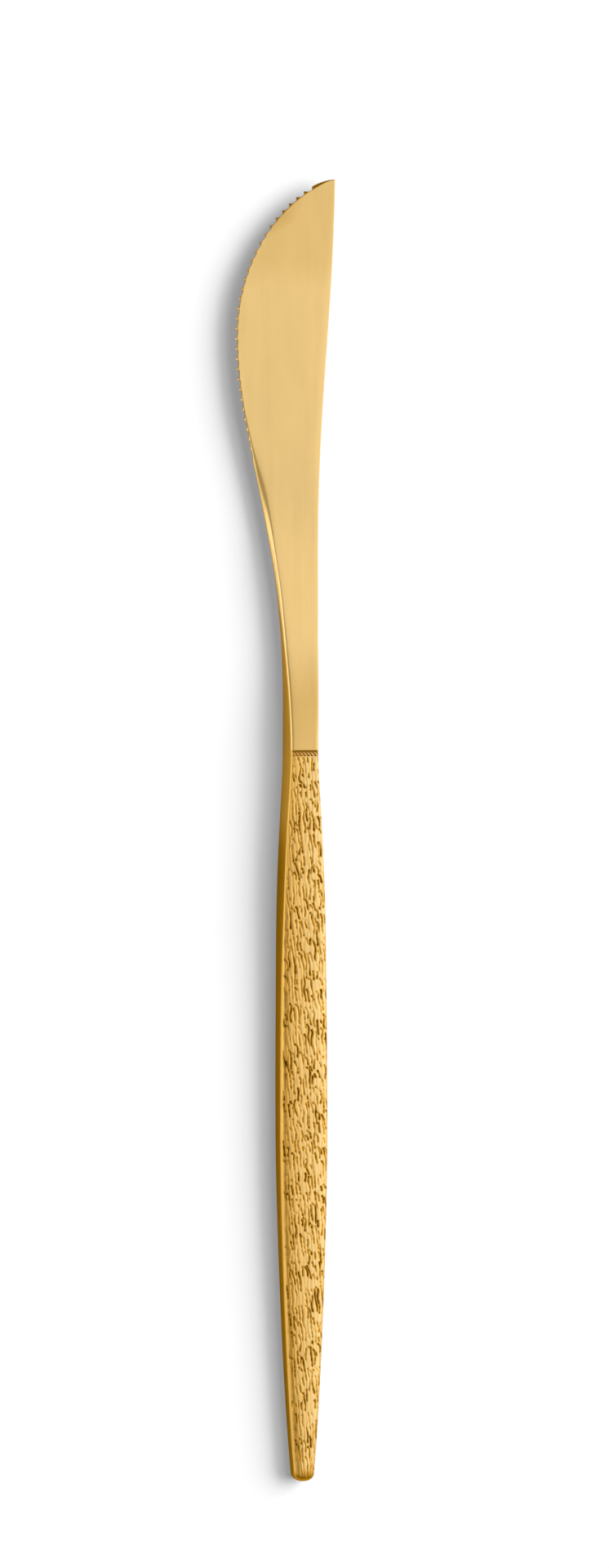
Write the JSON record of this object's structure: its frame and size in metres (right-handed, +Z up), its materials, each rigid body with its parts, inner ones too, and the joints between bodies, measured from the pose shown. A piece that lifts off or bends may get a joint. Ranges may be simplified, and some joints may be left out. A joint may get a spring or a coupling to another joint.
{
  "type": "fruit knife",
  "caption": "Slim gold-coloured fruit knife with a curved serrated blade, a square forged neck and a hollow bark-textured handle.",
  "frame": {"origin": "centre of the bounding box in plan, on the surface that the knife lies on", "axes": "+Y along the knife towards the tip, -X towards the cutting edge, +Z up from the table"},
  "size_m": [0.0166, 0.205, 0.0048],
  "materials": {
    "gold_blade": "satin gold coating, brushed lengthwise",
    "gold_handle": "gold coating over a bark-like relief, smooth side walls",
    "solder": "brazed joint, dressed flush",
    "cement": "set handle cement"
  },
  "bodies": {
    "root": {"blade": "gold_blade", "handle_shell_upper": "gold_handle", "handle_shell_lower": "gold_handle", "seam_solder": "solder", "neck_solder": "solder", "tang_cement": "cement"}
  },
  "joints": []
}
